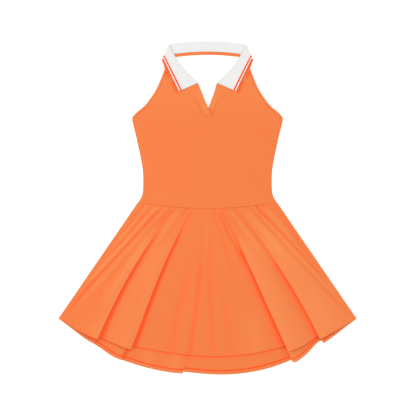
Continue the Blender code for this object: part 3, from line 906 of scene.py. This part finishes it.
frontCreases = [
    # three thin creases that run from the waist to the left edge, the third the deepest
    (-1.4, (3.2, 3.8), (0.14, 0.5), 1.9, (-159, 14), (-173, -12), (-189, -32), (-210, -58), (-232, -83),
     (-246, -99)),
    (-1.5, (3.2, 4), (0.12, 0.45), 1.8, (-137, 10), (-154, -12), (-171, -32), (-192, -58), (-216, -83),
     (-240, -109), (-263, -134), (-286, -159)),
    (-2.1, (3, 3.7), (0.09, 0.06), 2.7, (-108, 6), (-130, -12), (-171, -58), (-217, -109), (-264, -159),
     (-310, -210), (-355, -261), (-369, -278)),
    (0.9, (9, 9), (0.2, 0.25), 1, (-140, -40), (-184, -87), (-231, -137), (-278, -190), (-330, -250)),
    # the soft valley between the third crease and the outer fold
    (-1.4, (5, 6), (0.12, 0.3), 1.5, (-86, 3), (-104, -12), (-122, -32), (-144, -58), (-189, -109),
     (-228, -159), (-274, -210), (-329, -261)),
    (0.9, (9, 9), (0.2, 0.3), 1, (-112, -32), (-152, -84), (-196, -146), (-240, -206), (-286, -262)),
    # the two left folds begin as thin creases
    (-1.5, (3.4, 4.2), (0.14, 0.5), 1.9, (-74, 3), (-95, -14), (-111, -32), (-129, -58), (-147, -83),
     (-162, -109), (-176, -132)),
    (-1.4, (3.6, 4.2), (0.1, 0.5), 1.8, (-34, 2), (-46, -20), (-55, -35), (-67, -58), (-79, -83), (-91, -109),
     (-102, -134)),
    # between the two left folds
    (-0.8, (4.5, 5.5), (0.06, 0.4), 1.2, (-41, 2), (-56, -12), (-69, -32), (-87, -58), (-111, -83),
     (-129, -109), (-150, -136)),
    (-0.9, (10, 10), (0.4, 0), 1, (-150, -180), (-164, -210), (-183, -261), (-206, -312), (-232, -340)),
    # the middle panel's soft lines
    (-2.1, (8, 5.5), (0.38, 0), 1.5, (-11, -70), (-13, -109), (-17, -159), (-22, -210), (-28, -261),
     (-36, -312), (-41, -350), (-45, -375)),
    (-1.5, (12, 10), (0.45, 0), 1.1, (-33, -100), (-41, -134), (-53, -185), (-64, -236), (-78, -286),
     (-86, -337), (-92, -366)),
    (-1.6, (7, 8), (0.28, 0), 1.1, (3, -40), (7, -109), (7, -185), (9, -236), (12, -312), (15, -370)),
    (-1.3, (5, 5), (0.04, 0.4), 1.3, (13, 2), (24, -32), (32, -58), (41, -83), (49, -109), (57, -140),
     (70, -178), (77, -205)),
    (-1, (7, 7), (0.4, 0), 1, (30, -146), (38, -205), (47, -273), (53, -312), (52, -372)),
    (-1, (2.8, 4.5), (0.5, 0), 1.3, (66, -325), (67, -348), (69, -380)),
    (0.9, (24, 24), (0.4, 0), 1, (100, -250), (118, -310), (128, -372)),
    # beside the right inner fold, which begins as two thin creases
    (-1.4, (3.6, 3.6), (0.04, 0.3), 1.8, (35, 0), (40, -12), (50, -32), (63, -58), (75, -83), (86, -109),
     (95, -134), (104, -156)),
    (-1.6, (4.2, 5), (0.1, 0.35), 1.9, (26, -5), (38, -32), (49, -58), (63, -83), (76, -109), (88, -134),
     (102, -163)),
    (-0.9, (5, 5), (0.12, 0.5), 1.3, (54, -8), (67, -32), (84, -58), (99, -83), (116, -109), (136, -134)),
    # the right outer fold begins as a soft valley
    (-1.6, (6, 5), (0.03, 0.25), 1.5, (66, 2), (91, -32), (111, -58), (130, -83), (149, -109), (167, -134),
     (184, -159)),
    # two parallel creases that run to the right edge
    (-1.4, (4, 4), (0.1, 0), 2.2, (102, 5), (120, -12), (138, -32), (162, -58), (208, -109), (255, -159),
     (301, -210), (351, -261), (371, -276)),
    (-1.7, (3.5, 3.5), (0.02, 0.4), 3.1, (120, 9), (137, -12), (158, -32), (183, -58), (230, -109),
     (276, -159), (318, -210), (336, -232)),
    # a painted shade band along the right edge, where the cloth rolls away from the light
    (-0.4, (6.5, 7), (0.1, 0.3), 12, (186, -10), (207, -42), (232, -83), (275, -139), (325, -210)),
    (0.7, (7, 7), (0.2, 0.3), 1, (140, -22), (196, -84), (243, -134), (290, -185), (330, -230)),
    (-0.9, (5, 5), (0.06, 0.3), 1.4, (166, 12), (196, -34), (216, -64), (246, -104), (276, -144),
     (300, -176)),
    # the cloth is drawn up between the creases
    (1, (7, 7), (0.15, 0.4), 1, (48, -4), (78, -30), (112, -72), (140, -112)),
    (1.3, (9, 9), (0.15, 0.4), 1, (92, 0), (128, -38), (178, -100), (216, -150)),
    (1, (6, 6), (0.15, 0.4), 1, (-66, 0), (-84, -24), (-114, -64), (-142, -110)),
    (1.2, (4.5, 4.5), (0.05, 0.5), 1, (-98, 4), (-118, -18), (-148, -50)),
    (1.1, (5.5, 5.5), (0.05, 0.25), 1.8, (-121, 8), (-150, -22), (-178, -54), (-205, -83), (-257, -139),
     (-318, -210)),
    (1, (5, 5), (0.05, 0.4), 1.8, (-148, 10), (-176, -22), (-204, -58), (-226, -83), (-262, -124)),
    (-0.5, (4, 4), (0.4, 0.4), 1, (-8, -20), (-12, -70), (-16, -130)),
    (-0.4, (4, 4), (0.4, 0.4), 1, (6, -16), (10, -60), (12, -110)),
    (0.5, (5, 5), (0.4, 0.4), 1, (0, -20), (0, -70), (-2, -140)),
    (0.9, (4, 4), (0.1, 0.5), 1, (111, 6), (130, -12), (152, -38), (180, -68)),
    (1.2, (8, 8), (0.1, 0.5), 1, (140, 8), (166, -22), (194, -56), (226, -92)),
    # small tucks that the waist seam throws
    (-1.2, (2.4, 2.8), (0.02, 0.8), 1.7, (-157, 16), (-176, -13)),
    (-1, (2.4, 3), (0.02, 0.8), 1.5, (-148, 12), (-166, -14), (-180, -34)),
    (-0.9, (2.4, 3), (0.02, 0.8), 1.2, (-127, 8), (-143, -16), (-158, -38)),
    (-1.1, (2.6, 3.2), (0.02, 0.7), 1.3, (-95, 3), (-112, -17), (-129, -34)),
    (-1, (2.4, 3), (0.02, 0.7), 1.3, (-52, 1), (-60, -16), (-68, -28)),
    (-0.6, (2.6, 3.2), (0.05, 0.7), 1, (-23, 0), (-28, -24), (-33, -40)),
    (-0.9, (3, 2.4), (0.05, 0.7), 1, (91, 4), (106, -20), (120, -36)),
    (-1.2, (2.8, 2.4), (0.02, 0.8), 2.3, (138, 11), (154, -10), (166, -24)),
    (-1.2, (2.8, 2.4), (0.02, 0.8), 2.3, (152, 14), (166, -6), (178, -22)),
    # broad shallow rolls between the folds
    (-0.6, (16, 20), (0.4, 0.2), 1, (-196, -150), (-250, -230), (-318, -300)),
    (-0.6, (20, 20), (0.4, 0.2), 1, (120, -80), (190, -190), (250, -300)),
    (0.6, (18, 18), (0.4, 0.2), 1, (240, -190), (290, -260), (322, -312)),
]
backCreases = [
    (-1.1, (5, 6), (0.2, 0), 1.5, (-44, -300), (-50, -350), (-56, -392), (-60, -424)),
    (0.8, (12, 12), (0.2, 0), 1, (-70, -300), (-80, -360), (-88, -420)),
    (0.8, (14, 14), (0.2, 0), 1, (-146, -330), (-156, -400)),
    (0.9, (12, 10), (0.2, 0.6), 1, (-110, -40), (-170, -130), (-236, -236)),
    (0.7, (10, 14), (0.2, 0.6), 1, (-20, -40), (-30, -150), (-44, -260)),
    (0.8, (12, 12), (0.2, 0.6), 1, (30, -30), (48, -140), (64, -270)),
    (0.9, (10, 12), (0.2, 0.6), 1, (104, -30), (160, -120), (224, -220)),
    (0.6, (8, 10), (0.2, 0.6), 1, (150, -20), (210, -100), (280, -190)),
    (0.7, (8, 12), (0.2, 0.6), 1, (-150, -30), (-206, -104), (-280, -200)),
]
waistTucks = {  # on the hidden side
    "places": [-150, -112, -64, -18, 26, 70, 118, 156],
    "length": 26,
    "longer": 9,
    "steps": [(1.12, 0.6), (1.26, 1.2)],  # how much further out, and which share of the length down
}
for number, x in enumerate(waistTucks["places"]):
    length = waistTucks["length"] + waistTucks["longer"] * (number * 5 % 4)
    path = [(x, float(waistY(x)) - 2.0)] + [(x * out, -length * down) for out, down in waistTucks["steps"]]
    backCreases.append((0.5, (3, 4), (0.1, 0.7), 1, *path))


def foldProfile(growth, down, fold):
    # (across, height) over a rolled fold, from its upper layer to the layer under it
    table = np.array(growth)
    turn, arc, run = (float(np.interp(down, table[:, 0], table[:, i])) for i in (1, 2, 3))
    bend = math.radians(turn) / skirt["turnSteps"]
    arcStep = (arc * fold["size"] / skirt["turnSteps"], bend)
    steps = [arcStep] * skirt["turnSteps"]
    steps += [(run * fold["depth"] / skirt["runSteps"], 0.0)] * skirt["runSteps"]
    steps += [(arcStep[0], -bend)] * skirt["turnSteps"]
    across, height, heading = 0.0, 0.0, 0.0
    places = [(across, height)]
    for length, change in steps:
        across += length * math.cos(heading + change / 2)
        height -= length * math.sin(heading + change / 2)
        heading += change
        places.append((across, height))
    edge = max(place[0] for place in places[: skirt["turnSteps"] + 1])
    return [(across - edge, height - places[-1][1]) for across, height in places]


def foldX(fold, down):
    bow = fold["bulge"] + fold["skew"] * (1.0 - 2.0 * down)
    return mix(fold["waist"], fold["hem"][0], down) + bow * 4.0 * down * (1.0 - down)


def foldPoints(fold, growth, down):
    # (x, y, height, distance past the fold's edge on the lower side) across a fold, from left to right
    top = float(waistY(fold["waist"]))
    x, y = foldX(fold, down), mix(top, fold["hem"][1], down)
    slope = (foldX(fold, down + probe) - foldX(fold, down - probe)) / (2 * probe)
    along = unit((slope, fold["hem"][1] - top))
    side = (-along[1], along[0])
    square = float(smooth(down / skirt["squareBy"]))
    grown = max(down - fold["late"], 0.0) / (1.0 - fold["late"])
    sign = 1.0 if fold["over"] == "left" else -1.0
    points = []
    for step, (across, height) in enumerate(foldProfile(growth, grown, fold)):
        jog = fold["jog"] * min(max((step - skirt["turnSteps"]) / skirt["runSteps"], 0.0), 1.0) * down**2
        px = x + sign * across * mix(1.0, side[0], square)
        py = y + mix(float(waistY(px) - waistY(x)), side[1] * sign * across, square)
        points.append((px - side[1] * jog, py + side[0] * jog, height, across))
    return points if sign > 0 else points[::-1]


def bowShape(f, peak):
    g = f ** (math.log(0.5) / math.log(peak))
    return 4.0 * g * (1.0 - g)


def crownShape(distance):
    return smooth(distance / skirt["crownPeak"]) * near(distance - skirt["crownPeak"], skirt["crownFall"])


def foldShading(fold, distance, isUpper, grown, down):
    # painted highlight, paler, on the roll of the upper layer, and painted shade, redder, in the hollow
    # beside its edge
    if isUpper:
        strength, reach = fold["rollHighlight"]
        start, run = skirt["rollHighlightFrom"]
        return -strength * np.exp(-((distance / reach) ** 2)) * float(smooth((down - start) / run))
    strength, flat, fall = fold["hollowShade"]
    strength = strength * mix(0.5, 1.0, smooth(down / skirt["hollowRun"])) * grown
    flat = flat * mix(skirt["hollowAtWaist"], 1.0, down)
    return strength * np.exp(-np.maximum(distance - flat, 0.0) / fall)


def edgeAt(down):
    return mix(skirt["topHalf"], skirt["hemCorner"][0], down)


def goreRow(panel, down, index, leftSpan, rightSpan):
    # the points of one row between two folds
    columns, bow, peak, wave = panel["gores"][index]
    left, right = leftSpan[-1], rightSpan[0]
    width = math.dist(left[:2], right[:2])
    reach = min(skirt["reach"], width)
    f = np.arange(1, columns) / columns
    f = f - skirt["spacing"] * np.sin(2 * math.pi * f)
    x, y = mix(left[0], right[0], f), mix(left[1], right[1], f)
    y = y + (bow * bowShape(f, peak) + wave * bowShape(f, skirt["wavePeak"]) ** 2) * down**2
    y = y + (waistY(x) - mix(waistY(left[0]), waistY(right[0]), f)) * (1.0 - down) ** 2
    fromLeft, fromRight = f * width, (1.0 - f) * width
    height = left[2] * near(fromLeft, reach) + right[2] * near(fromRight, reach)
    paintedShading = np.zeros(columns - 1)
    sides = ((index - 1, "right", fromLeft, left, leftSpan), (index, "left", fromRight, right, rightSpan))
    for number, upperSide, distance, edge, span in sides:
        if not 0 <= number < len(panel["folds"]):
            continue
        fold = panel["folds"][number]
        isUpper = fold["over"] == upperSide
        grown = min(max(point[2] for point in span) / skirt["grownBy"], 1.0)
        past = distance if isUpper else distance + edge[3]
        paintedShading = paintedShading + foldShading(fold, past, isUpper, grown, down)
        if isUpper:
            height = height + panel["crown"] * grown * crownShape(distance)
    return list(zip(x, y, height, paintedShading))


def foldRow(fold, span, down):
    # the points of one row round a fold
    row = []
    full = max(point[2] for point in span) + 1e-6
    hollowShade = float(foldShading(fold, 0.0, False, 1.0, down))
    gain, less = skirt["rim"]
    for x, y, height in (point[:3] for point in span):
        # painted shade low on the fold, turning to painted highlight on its roll
        paintedShading = mix(hollowShade, -fold["rollHighlight"][0], float(smooth(height / full * gain - less)))
        row.append((x, y, height, paintedShading * min(full / skirt["grownBy"], 1.0)))
    return row


def skirtRow(panel, down):
    # one row of a skirt panel from left to right: x, y, height, painted shading
    folds = panel["folds"]
    edgeY = mix(float(waistY(skirt["topHalf"])), skirt["hemCorner"][1], down)
    start, end = ((side * edgeAt(down), edgeY, 0.0, 0.0) for side in (-1, 1))
    spans = [[start]] + [foldPoints(fold, panel["growth"], down) for fold in folds] + [[end]]
    row = [start]
    for index, (leftSpan, rightSpan) in enumerate(zip(spans, spans[1:])):
        row += goreRow(panel, down, index, leftSpan, rightSpan)
        if index < len(folds):
            row += foldRow(folds[index], rightSpan, down)
    row = np.array(row + [end])
    row[:, 1] += cloth["waistLap"] * (1.0 - down)
    return row


def frontBase(panel, x, down):
    # the front's level without its folds: lifted over the back's folds, with a ripple in the middle panel
    inner = smooth((edgeAt(down) - abs(x)) / panel["liftSideRun"])
    lift = panel["lift"] * smooth(down / panel["liftBy"]) * inner
    left, right = (foldX(fold, down) for fold in panel["folds"][1:3])
    fromRipple = abs((x - left) / (right - left) - panel["ripplePlace"]) / panel["rippleWidth"]
    ripple = panel["rippleHeight"] * smooth(1.0 - fromRipple) * smooth(down)
    return levels["front"] + chestCrown(x) * near(down, panel["liftBy"]) + lift + ripple


def coverMap(points):
    # the highest level of a panel on a map of cells, spread over two cells all round and then softened
    cell = skirt["cell"]
    corner = points[..., :2].min(axis=(0, 1)) - skirt["cellsAround"] * cell
    place = ((points[..., :2] - corner) / cell).astype(int).reshape(-1, 2)
    top = np.full(tuple(place.max(axis=0) + skirt["cellsAround"] + 1), levels["back"])
    np.maximum.at(top, (place[:, 0], place[:, 1]), points[..., 2].ravel())
    for axis in (0, 1, 0, 1):
        top = np.maximum(top, np.maximum(np.roll(top, 1, axis), np.roll(top, -1, axis)))
    for axis in (0, 1):
        top = (np.roll(top, 1, axis) + 2.0 * top + np.roll(top, -1, axis)) / 4.0
    return corner, top


def coverLevel(cover, x, y):
    # the map's level at each place, which is kept inside the last whole cell
    corner, top = cover
    column, row = (
        np.clip((place - start) / skirt["cell"] - 0.5, 0.0, cells - 1.001)
        for place, start, cells in zip((x, y), corner, top.shape)
    )
    i, j = column.astype(int), row.astype(int)
    f, g = column - i, row - j
    return mix(mix(top[i, j], top[i + 1, j], f), mix(top[i, j + 1], top[i + 1, j + 1], f), g)


def keepAbove(z, low):
    # raises what lies below a level to it, with a soft bend
    past = z - low
    return low + (past + np.sqrt(past**2 + skirt["softBend"])) / 2.0


def panelPoints(panel, downs):
    points = np.array([skirtRow(panel, down) for down in downs])
    x, y, z, paintedShading = (points[..., i] for i in range(4))
    downs = np.array(downs)[:, None]
    fromEdge = (edgeAt(downs) - abs(x)) * skirt["edgeSlope"]
    inner = smooth(fromEdge / skirt["creaseEdge"])
    if panel is frontSkirt:
        lying = coverLevel(backCover, x, y)
        sunk = smooth((downs - panel["sinksFrom"]) / panel["sinksOver"])
        z = z + mix(frontBase(panel, x, downs), lying + panel["restsAbove"], sunk)
        z, paintedShading = addCreases(z, paintedShading, x, y, frontCreases, inner)
        z = mix(z, levels["side"], near(fromEdge, skirt["sideRoll"]))
        z = z + seamDip(waistY(x) - y) * smooth(fromEdge / skirt["seamEdge"])
        z = keepAbove(z, lying + cloth["wall"])
        paintedShading = paintedShading + seamShade(waistY(x) - y)
    else:
        # painted shade on the back under the front's hem
        hemLine = skirtRow(frontSkirt, 1.0)
        below = np.interp(x, np.maximum.accumulate(hemLine[:, 0]), hemLine[:, 1]) - y
        strength, width, up = panel["underHem"]
        paintedShading = paintedShading + strength * np.exp(-((np.maximum(below, 0.0) / width) ** 2)) * (below > -up)
        z, paintedShading = addCreases(levels["back"] + z, paintedShading, x, y, backCreases, inner)
        z = np.maximum(z, levels["back"])
    return np.stack([x, y, z], axis=-1), paintedShading


def flatCut(points, downs, length):
    # each point's place in the flat panel, which is a piece of a ring
    runs = np.array([runAlong(line) for line in points])
    top, hem = runs[0, -1], runs[-1, -1]
    inner = top * length / (hem - top)
    radius = (inner + np.array(downs) * length)[:, None]
    angle = (runs - runs[:, -1:] / 2.0) / radius
    spread = runs[-1, -1] / (inner + length)
    area = spread / 2.0 * ((inner + length) ** 2 - inner**2)
    size = (2.0 * (inner + length) * math.sin(spread / 2.0), inner + length - inner * math.cos(spread / 2.0))
    print("flat panel", [round(number) for number in (*size, hem, top)], "area", round(area / 1e6, 4))
    cut = np.stack([radius * np.sin(angle), -radius * np.cos(angle)], axis=-1)
    return cut, (size[0] * mm, size[1] * mm), area * 1e-6


def buildSkirt(name, panel, material, node):
    # rows lie close at the waist seam and at the hem, and even between
    after, before = skirt["rowsBetween"]
    last = [1.0 - offset / panel["hemLength"] for offset in panel["hemRows"]]
    downs = skirt["waistRows"] + list(np.linspace(after, last[0] - before, panel["rows"])) + last
    points, paintedShading = panelPoints(panel, downs)
    offset = (1.0 - np.array(downs))[:, None] * panel["hemLength"]
    strength, place, width = panel["hemShade"]
    paintedShading = paintedShading + strength * np.exp(-(((offset - place) / width) ** 2))
    cut, flat, area = flatCut(points, downs, panel["cutLength"])
    shape = bmesh.new()
    addGrid(shape, points, paintedShading, cut)
    return finishPiece(name, shape, material, cloth["wall"], node), flat, area, points


backPiece, backFlat, backArea, backPoints = buildSkirt("backSkirt", backSkirt, orangeInside, "back_skirt")
backCover = coverMap(backPoints)
frontPiece, frontFlat, frontArea = buildSkirt("frontSkirt", frontSkirt, orangeKnit, "front_skirt")[:3]
print("skirt made")

hem = {
    "width": 8.4,
    "wall": 0.4,
    "clear": 0.03,
    "offsets": np.array([0, 0.6, 2.4, 4.6, 6.4, 7.3, 7.9, 8.4]),
    "pale": 0.5,
    "innerShade": 0.7,
    "innerFrom": 6.4,
    "innerRun": 1.5,
    "cornerColumns": 10,
    "stitchPitch": 2.3,
    "stitchLean": 2.4,
    "stitchShares": (0.94, 0.2),
    "stitchSize": 0.34,
    "stitchLift": 0.12,
}


def buildHem(name, panel):
    # the hem's turned strip: under the front, where the back's lies on its inside, face up
    isFront = panel is frontSkirt
    offsets = hem["offsets"]
    points, paintedShading = panelPoints(panel, [1.0 - offset / panel["hemLength"] for offset in offsets])
    # the strip is painted paler as a painted highlight, with a painted shadow line along its inner edge
    inner = smooth((offsets[:, None] - hem["innerFrom"]) / hem["innerRun"])
    paintedShading = paintedShading - hem["pale"] + (hem["pale"] + hem["innerShade"]) * inner
    points[..., 2] += (-1 if isFront else 1) * ((cloth["wall"] + hem["wall"]) / 2 + hem["clear"])
    shape = bmesh.new()
    strips = []
    start, first = 0, hem["cornerColumns"] if isFront else 0  # the front's strip ends before the side seams
    for gore in panel["gores"]:
        last = start + gore[0]
        part = slice(max(start, first) + 1, min(last, points.shape[1] - 1 - first))
        start = last + 2 * skirt["turnSteps"] + skirt["runSteps"]
        run = runAlong(points[0, part])
        addGrid(shape, points[:, part], paintedShading[:, part], flatPlaces(run, offsets))
        strips.append((points[:, part], run))
    return finishPiece(name, shape, orangeKnit, hem["wall"]), strips


frontHem = buildHem("frontHem", frontSkirt)[0]
backHem, backStrips = buildHem("backHem", backSkirt)

topStitch = {"pitch": 2.6, "bindingPitch": 2.8, "first": 0.1, "share": 0.72, "size": 0.22, "lift": 0.06}


def addStitch(shape, start, end, size):
    line = Vector(end) - Vector(start)
    place = Matrix.Translation((Vector(start) + Vector(end)) / 2 * mm)
    place = place @ line.to_track_quat("Z", "Y").to_matrix().to_4x4()
    thread = {"radius1": size * mm, "radius2": size * mm, "depth": line.length * mm}
    bmesh.ops.create_cone(shape, cap_ends=True, segments=5, matrix=place, **thread)


def pointAt(line, run, place, lift):
    # a point at a place along a line of points, lifted off it
    x, y, z = (float(np.interp(place, run, line[:, axis])) for axis in range(3))
    return (x, y, z + lift)


def buildHemStitches():
    # the looper threads on the inside of the back's hem, leaning across the strip
    shape = bmesh.new()
    for strip, run in backStrips:
        lines = []
        for share in hem["stitchShares"]:
            row = float(np.interp(share * hem["width"], hem["offsets"], np.arange(len(hem["offsets"]))))
            low = min(int(row), strip.shape[0] - 2)
            lines.append(mix(strip[low], strip[low + 1], row - low))
        for i in range(1, int(run[-1] / hem["stitchPitch"]) - 1):
            ends = []
            for line, lean in zip(lines, (0.0, hem["stitchLean"])):
                place = i * hem["stitchPitch"] + lean
                ends.append(pointAt(line, run, place, hem["wall"] / 2 + hem["stitchLift"]))
            addStitch(shape, *ends, hem["stitchSize"])
    return finishPiece("hemThreads", shape, orangeThread, 0)


def stitchRow(shape, line, pitch, wall):
    # stitches along a line of points, each filling a share of the pitch
    run = runAlong(line)
    for i in range(int(run[-1] / pitch)):
        start = i + topStitch["first"]
        places = (start * pitch, (start + topStitch["share"]) * pitch)
        ends = [pointAt(line, run, place, wall / 2 + topStitch["lift"]) for place in places]
        addStitch(shape, *ends, topStitch["size"])


def buildTopStitches():
    shape = bmesh.new()
    for points in (overPoints, underPoints):
        for column in (placket["stitchColumn"], placket["columns"] - placket["stitchColumn"]):
            stitchRow(shape, points[1:-2, column], topStitch["pitch"], placket["wall"])
    for points in (leftBinding, rightBinding):
        stitchRow(shape, points[:, -3], topStitch["bindingPitch"], binding["wall"])
    return finishPiece("topStitches", shape, orangeThread, 0)


hemThreads = buildHemStitches()
topStitches = buildTopStitches()

print("hems and stitches made")

studio = {
    "ambient": 0.905,
    "keyPower": 8.5,
    "topPower": 13.0,
    "lightAim": (0.0, -0.05, 0.0),
    "floorHalf": 4.0,
    "floorLevel": -0.0004,
    "floorShade": 0.95,
    "floorGlow": 0.25,
    "eye": (0.00127, -0.00064, 2.94),
    "lens": 100.0,
}
white = (1.0, 1.0, 1.0, 1.0)


def buildFloor():
    shape = bmesh.new()
    bmesh.ops.create_grid(shape, x_segments=1, y_segments=1, size=studio["floorHalf"])
    bmesh.ops.translate(shape, verts=shape.verts, vec=(0.0, 0.0, studio["floorLevel"]))
    finish = Finish("paleFloor", roughness=0.9, sheen=0.0, specular=0.1)
    finish.fill(finish.shader, {"Base Color": (studio["floorShade"],) * 3 + (1.0,)})
    finish.fill(finish.shader, {"Emission Color": white, "Emission Strength": studio["floorGlow"]})
    floor = meshObject("floor", shape, finish.material)


def areaLight(name, place, width, height, power):
    light = bpy.data.lights.new(name, "AREA")
    light.shape = "RECTANGLE"
    light.size, light.size_y = width, height
    light.energy = power
    lamp = newObject(name, light)
    lamp.location = place
    lamp.rotation_mode = "QUATERNION"
    lamp.rotation_quaternion = (Vector(studio["lightAim"]) - Vector(place)).to_track_quat("-Z", "Y")


buildFloor()
world = bpy.data.worlds.new("studio")
world.use_nodes = True
sky = world.node_tree.nodes["Background"]
sky.inputs["Color"].default_value = white
sky.inputs["Strength"].default_value = studio["ambient"]
bpy.context.scene.world = world
areaLight("keySoftbox", (-1.9, 0.5, 1.4), 1.0, 1.4, studio["keyPower"])
areaLight("topSoftbox", (0.0, 0.3, 2.6), 1.6, 1.6, studio["topPower"])

camera = bpy.data.cameras.new("camera")
camera.lens = studio["lens"]
camera.sensor_width = 36.0
eye = newObject("camera", camera)
eye.location = studio["eye"]
bpy.context.scene.camera = eye
bpy.context.scene.view_settings.view_transform = "Standard"
print("studio made")
